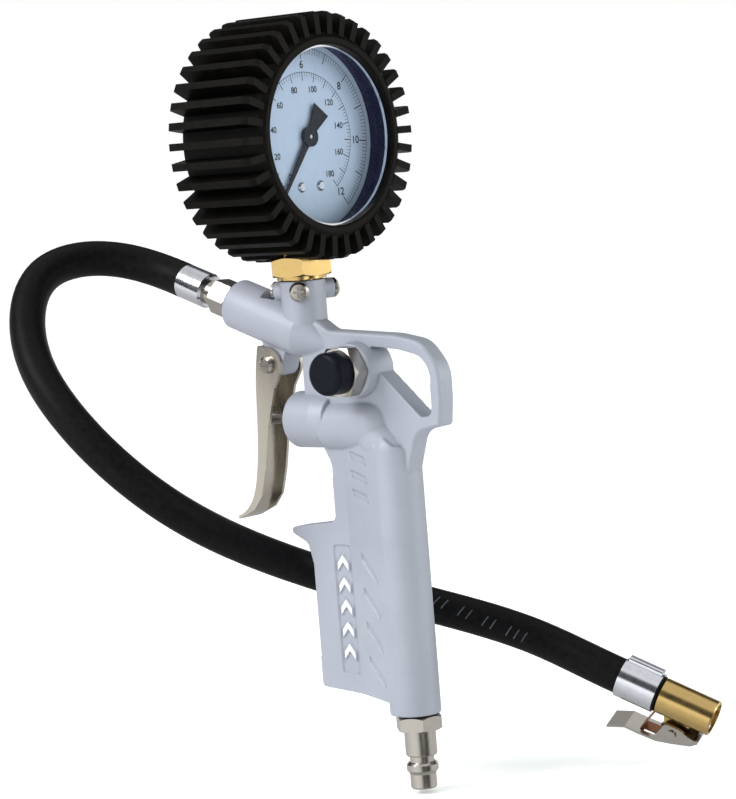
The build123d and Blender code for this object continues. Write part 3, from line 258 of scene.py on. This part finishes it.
def rubbers():
    """Moulded rubber and the cap's plastic, all near black."""
    return {
        "boot": mottled("boot_rubber", (0.003, 0.003, 0.0025), (0.007, 0.006, 0.005), (0.34, 0.5), 240,
                        relief=0.06 * MM, gloss=0.07),
        "hose": mottled("hose_rubber", (0.004, 0.004, 0.004), (0.008, 0.008, 0.009), (0.38, 0.5), 500,
                        relief=0.04 * MM, gloss=0.08),
        "seal": mottled("seal_rubber", (0.008, 0.008, 0.008), (0.015, 0.015, 0.015), (0.5, 0.6), 500,
                        gloss=0.3),
        "cap": mottled("cap_plastic", (0.004, 0.005, 0.009), (0.007, 0.009, 0.015), (0.3, 0.42), 700,
                       relief=0.03 * MM, gloss=0.09),
    }


def paints():
    """Paint and print on the dial, the web and the hose."""
    return {
        "dial": mottled("dial_paint", (0.52, 0.59, 0.71), (0.56, 0.63, 0.75), (0.35, 0.45), 500),
        "ink": mottled("black_ink", (0.015, 0.015, 0.02), (0.03, 0.03, 0.04), (0.5, 0.6), 900, gloss=0.2),
        "pointer": mottled("pointer_paint", (0.005, 0.005, 0.006), (0.01, 0.01, 0.011), (0.35, 0.5), 600,
                           gloss=0.25),
        "dark_ring": mottled("dark_ring", (0.008, 0.006, 0.03), (0.018, 0.014, 0.06), (0.12, 0.2), 300,
                             0.2),
        "white_print": mottled("white_print", (0.66, 0.68, 0.74), (0.76, 0.78, 0.84), (0.5, 0.6), 900),
        "hose_ink": mottled("hose_ink", (0.05, 0.05, 0.065), (0.10, 0.10, 0.12), (0.6, 0.7), 900),
    }


PAINTED = {
    "casting": ["gun_body"],
    "nickel": ["inlet_plug", "release_nut", "hose_nipple", "socket_screws", "trigger_screw", "trigger_nut",
               "chuck_lever", "chuck_pin"],
    "trigger": ["trigger"],
    "steel": ["valve_spring", "release_spring", "nipple_washer", "valve_stem", "release_stem", "gauge_case",
              "dial_screws", "movement_screws", "pinion_shaft"],
    "zinc": ["hose_ferrule", "ear_clamp"],
    "chrome": ["gauge_bezel"],
    "brass": ["valve_gland", "valve_seat", "gauge_socket", "movement_back_plate", "movement_front_plate",
              "movement_pillars", "sector_gear", "bourdon_link", "chuck_body", "chuck_depressor"],
    "bronze": ["bourdon_tube", "hairspring", "chuck_spring"],
    "boot": ["gauge_boot"],
    "hose": ["hose"],
    "seal": ["plug_seal", "stem_o_ring", "valve_disc", "release_seal", "socket_o_ring", "window_gasket",
             "chuck_seal"],
    "cap": ["release_cap"],
    "dial": ["gauge_dial"],
    "pointer": ["gauge_pointer"],
    "dark_ring": ["dial_spacer"],
    "window": ["gauge_window"],
}


def set_material(obj, material):
    obj.data.materials.clear()
    obj.data.materials.append(material)


def add_bevel(obj, width):
    modifier = obj.modifiers.new("soft_edges", "BEVEL")
    modifier.width = width * MM
    modifier.segments = 2
    modifier.limit_method = "ANGLE"
    modifier.angle_limit = math.radians(BEVEL_ANGLE)


def finish_cad_parts(materials):
    """Materials and softened edges for the parts that come from the CAD as they are."""
    for key, names in PAINTED.items():
        for name in names:
            set_material(nodes[name], materials[key])
    for name, width in BEVELS.items():
        add_bevel(nodes[name], width)


# ---------------------------------------------------------------- piece helpers
def copy_of(name, new_name):
    obj = nodes[name].copy()
    obj.data = nodes[name].data.copy()
    obj.name = new_name
    obj.parent = None
    bpy.context.scene.collection.objects.link(obj)
    return obj


def mesh_object(name, vertices, faces, material):
    mesh = bpy.data.meshes.new(name)
    mesh.from_pydata(vertices, [], faces)
    mesh.validate()
    obj = bpy.data.objects.new(name, mesh)
    bpy.context.scene.collection.objects.link(obj)
    set_material(obj, material)
    return obj


def ride_on(obj, body):
    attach(obj, body)


# ---------------------------------------------------------------- casting
def soft_casting(material):
    """The casting with its edges rounded, as a shot-blasted die casting has them."""
    obj = copy_of("gun_body", "cast_gun")
    remesh = obj.modifiers.new("remesh", "REMESH")
    remesh.mode = "VOXEL"
    remesh.voxel_size = VOXEL
    smooth = obj.modifiers.new("smooth", "SMOOTH")
    smooth.factor = 0.5
    smooth.iterations = SMOOTH_PASSES
    evaluated = obj.evaluated_get(bpy.context.evaluated_depsgraph_get())
    mesh = bpy.data.meshes.new_from_object(evaluated)
    obj.modifiers.clear()
    obj.data = mesh
    for polygon in mesh.polygons:
        polygon.use_smooth = True
    set_material(obj, material)
    ride_on(obj, "gun")
    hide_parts("gun_body")


# ---------------------------------------------------------------- springs
def soft_spring(node, piece, material):
    """Copy of a CAD spring that rides on the gun in place of the CAD one."""
    obj = copy_of(node, piece)
    set_material(obj, material)
    ride_on(obj, "gun")
    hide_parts(node)
    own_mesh(obj)


def soft_springs(materials):
    """The springs of the valve, the deflate button and the chuck's clip."""
    soft_spring("valve_spring", "valve_coil", materials["steel"])
    soft_spring("release_spring", "release_coil", materials["steel"])
    soft_spring("chuck_spring", "chuck_leaf", materials["bronze"])


# ---------------------------------------------------------------- dial print
def dial_point(angle, radius):
    """The y and z, from the pointer's axis, of a point on the dial."""
    turn = math.radians(angle)
    return (-radius * math.sin(turn), -radius * math.cos(turn))


def flat_quad(vertices, faces, corners):
    first = len(vertices)
    vertices.extend((DIAL_X + MARK_LIFT, y, GAUGE_Z + z) for y, z in corners)
    faces.append(tuple(range(first, first + 4)))


def tick_ring(vertices, faces, radius, divisions, major, short, long):
    """Radial marks from the zero mark to the last one; every one in `major` is long."""
    for index in range(divisions + 1):
        length, width = short if index % major else long
        angle = DIAL_START + DIAL_SWEEP * index / divisions
        turn = math.radians(angle)
        across = Vector((math.cos(turn), -math.sin(turn))) * width / 2
        inner = Vector(dial_point(angle, radius - length))
        outer = Vector(dial_point(angle, radius))
        flat_quad(vertices, faces, [inner - across, inner + across, outer + across, outer - across])


def arc_line(vertices, faces, radius, width):
    """Thin line along the outer ends of a scale's marks."""
    outside = radius + width
    for index in range(ARC_STEPS):
        start = DIAL_START + DIAL_SWEEP * index / ARC_STEPS
        end = DIAL_START + DIAL_SWEEP * (index + 1) / ARC_STEPS
        flat_quad(vertices, faces, [
            dial_point(start, radius), dial_point(end, radius),
            dial_point(end, outside), dial_point(start, outside),
        ])


def dial_scales(material):
    vertices, faces = [], []
    for scale in (OUTER_SCALE, INNER_SCALE):
        tick_ring(vertices, faces, scale["radius"], scale["divisions"], scale["major"],
                  scale["short"], scale["long"])
        arc_line(vertices, faces, scale["radius"], scale["line"])
    ride_on(mesh_object("dial_scales", vertices, faces, material), "gauge")


def figure(name, text, angle, radius, size, material):
    """One plain number printed upright on the dial."""
    curve = bpy.data.curves.new(name, "FONT")
    curve.body = text
    curve.size = size
    curve.align_x = "CENTER"
    curve.align_y = "CENTER"
    curve.offset = 0.02 * size
    text_object = bpy.data.objects.new(name, curve)
    y, z = dial_point(angle, radius)
    facing = Matrix(((0, 0, 1), (1, 0, 0), (0, 1, 0))).to_4x4()
    place = Matrix.Translation((DIAL_X + FIGURE_LIFT, y, GAUGE_Z + z)) @ facing
    bpy.context.scene.collection.objects.link(text_object)
    evaluated = text_object.evaluated_get(bpy.context.evaluated_depsgraph_get())
    mesh = bpy.data.meshes.new_from_object(evaluated)
    mesh.transform(place)
    bpy.data.objects.remove(text_object)
    flat = bpy.data.objects.new(name, mesh)
    bpy.context.scene.collection.objects.link(flat)
    set_material(flat, material)
    ride_on(flat, "gauge")


def dial_figures(material):
    for prefix, scale in (("outer", OUTER_FIGURES), ("inner", INNER_FIGURES)):
        for value in range(0, scale["last"] + 1, scale["step"]):
            angle = DIAL_START + DIAL_SWEEP * value / scale["last"]
            name = f"{prefix}_figure_{value}"
            figure(name, str(value), angle, scale["radius"], scale["size"], material)


# ---------------------------------------------------------------- print on the web and the hose
def chevron(foot):
    """Outline of one chevron pointing up, its lower edge first; foot is the height of its feet."""
    top = foot + CHEVRON_THICK
    return [
        (-CHEVRON_HALF, foot), (0, foot + CHEVRON_RISE), (CHEVRON_HALF, foot),
        (CHEVRON_HALF, top), (0, top + CHEVRON_RISE), (-CHEVRON_HALF, top),
    ]


def panel_print(material):
    """White chevrons printed on the raised ones in the web's label panel, on both sides."""
    vertices, faces = [], []
    for side in (-1, 1):
        y = side * (WEB_HALF + PANEL_LIFT)
        for step in range(CHEVRONS):
            a = len(vertices)
            for x, z in chevron(CHEVRON_LOWEST + CHEVRON_PITCH * step):
                vertices.append((PANEL_X + x, y, PANEL_Z + z))
            faces.append((a, a + 1, a + 4, a + 5))
            faces.append((a + 1, a + 2, a + 3, a + 4))
    ride_on(mesh_object("panel_print", vertices, faces, material), "gun")


def hose_print(material):
    """Groups of slanted strokes where a hose carries its plain printed line."""
    surface = BVHTree.FromObject(nodes["hose"], bpy.context.evaluated_depsgraph_get())
    along = (PRINT_END - PRINT_START).normalized()
    across = PRINT_OUT.cross(along)
    length = (PRINT_END - PRINT_START).length
    vertices, faces = [], []
    for place in STROKES:
        middle = PRINT_START + along * (length * (place + 0.5) / STROKE_PLACES)
        for step in range(STROKE_STEPS + 1):
            share = 2 * step / STROKE_STEPS - 1
            for side in (-STROKE_HALF_WIDTH, STROKE_HALF_WIDTH):
                point = middle + across * (share * STROKE_HALF_HEIGHT)
                point += along * (side + share * STROKE_LEAN)
                hit, normal, _, _ = surface.ray_cast(point + PRINT_OUT * RAY_START, -PRINT_OUT)
                vertices.append(hit + normal * PRINT_LIFT)
            if step:
                last = len(vertices)
                faces.append((last - 4, last - 3, last - 1, last - 2))
    ride_on(mesh_object("hose_print", vertices, faces, material), "gun")


# ---------------------------------------------------------------- stage
def set_floor():
    """White floor that keeps a faint shadow."""
    material, _, shader = new_material("pale_floor")
    shader.inputs["Base Color"].default_value = (0.9, 0.9, 0.9, 1)
    shader.inputs["Roughness"].default_value = 0.9
    shader.inputs["Emission Color"].default_value = (1, 1, 1, 1)
    shader.inputs["Emission Strength"].default_value = 0.35
    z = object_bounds()[0][2] - FLOOR_GAP
    corners = [(-1, -1), (1, -1), (1, 1), (-1, 1)]
    vertices = [(x * FLOOR_HALF, y * FLOOR_HALF, z) for x, y in corners]
    floor = mesh_object("floor", vertices, [(0, 1, 2, 3)], material)
    floor.visible_glossy = False


def area_light(name, place, size, power):
    data = bpy.data.lights.new(name, "AREA")
    data.shape = "RECTANGLE"
    data.size, data.size_y = size
    data.energy = power
    light = bpy.data.objects.new(name, data)
    light.location = place
    light.rotation_euler = (Vector(MIDDLE) - Vector(place)).to_track_quat("-Z", "Y").to_euler()
    bpy.context.scene.collection.objects.link(light)


def sky(tree, direction, stops):
    """Environment colour that changes with the angle from one direction."""
    view = add_node(tree, "ShaderNodeTexCoord").outputs["Generated"]
    dot = add_node(tree, "ShaderNodeVectorMath", operation="DOT_PRODUCT")
    tree.links.new(view, dot.inputs[0])
    dot.inputs[1].default_value = Vector(direction).normalized()
    share = add_node(tree, "ShaderNodeMapRange")
    share.inputs["From Min"].default_value = -1.0
    tree.links.new(dot.outputs["Value"], share.inputs["Value"])
    return ramp(tree, share.outputs[0], stops)


def choose(tree, switch, off, on):
    """The colour `off` where the switch is 0 and `on` where it is 1."""
    node = add_node(tree, "ShaderNodeMix", data_type="RGBA")
    tree.links.new(switch, node.inputs[0])
    tree.links.new(off, node.inputs[6])
    tree.links.new(on, node.inputs[7])
    return node.outputs[2]


def set_world():
    """White for the camera, a soft gradient for shading and light and dark bands for reflections."""
    world = bpy.data.worlds.new("studio")
    bpy.context.scene.world = world
    world.use_nodes = True
    tree = world.node_tree
    ray = add_node(tree, "ShaderNodeLightPath")
    soft = sky(tree, (-0.62, -0.66, 0.42), [
        (0.0, (0.03, 0.06, 0.02)), (0.35, (0.17, 0.25, 0.16)),
        (0.6, (0.70, 0.76, 0.72)), (1.0, (1.55, 1.54, 1.63)),
    ])
    height_bands = sky(tree, (-0.1, -0.1, 1.0), [
        (0.0, 0.45), (0.36, 0.75), (0.50, 1.15), (0.60, 1.3),
        (0.65, 0.05), (0.84, 0.08), (0.90, 0.9), (1.0, 0.6),
    ])
    side_bands = sky(tree, (0.91, -0.41, 0.0), [
        (0.0, 0.7), (0.6, 1.1), (0.86, 1.0), (0.94, 0.10), (1.0, 0.05),
    ])
    bands = multiply(tree, height_bands, side_bands)
    white = add_node(tree, "ShaderNodeRGB").outputs["Color"]
    white.default_value = (1, 1, 1, 1)
    unseen = choose(tree, ray.outputs["Is Glossy Ray"], soft, bands)
    colour = choose(tree, ray.outputs["Is Camera Ray"], unseen, white)
    tree.links.new(colour, tree.nodes["Background"].inputs["Color"])


def set_lights():
    area_light("key_light", (-0.35, -0.75, 0.75), (0.5, 0.5), 5)
    area_light("rim_light", (0.7, 0.35, 0.45), (0.3, 0.6), 2)
    area_light("front_light", (0.9, -0.5, 0.1), (0.4, 0.4), 1)


def set_camera():
    """Camera turned by its azimuth and elevation, then leaned by its roll."""
    azimuth = math.radians(CAMERA_AZIMUTH)
    elevation = math.radians(CAMERA_ELEVATION)
    roll = math.radians(CAMERA_ROLL)
    outward = Vector((math.sin(azimuth), -math.cos(azimuth), 0))
    back = outward * math.cos(elevation) + Vector((0, 0, math.sin(elevation)))
    level = Vector((math.cos(azimuth), math.sin(azimuth), 0))
    up = back.cross(level)
    right = level * math.cos(roll) - up * math.sin(roll)
    top = level * math.sin(roll) + up * math.cos(roll)
    data = bpy.data.cameras.new("photo_camera")
    data.lens = CAMERA_LENS
    data.sensor_width = CAMERA_SENSOR
    data.clip_start = CAMERA_CLIP
    camera = bpy.data.objects.new("photo_camera", data)
    turn = Matrix((right, top, back)).transposed().to_4x4()
    camera.matrix_world = Matrix.Translation(CAMERA_PLACE) @ turn
    bpy.context.scene.collection.objects.link(camera)
    bpy.context.scene.camera = camera


# ---------------------------------------------------------------- the scene
materials = {"casting": casting_material(), "window": window_material()}
materials.update(metals())
materials.update(rubbers())
materials.update(paints())

finish_cad_parts(materials)
soft_casting(materials["casting"])
soft_springs(materials)
dial_scales(materials["ink"])
dial_figures(materials["ink"])
panel_print(materials["white_print"])
hose_print(materials["hose_ink"])

set_world()
set_lights()
set_camera()
set_floor()
bpy.context.scene.view_settings.view_transform = "Standard"
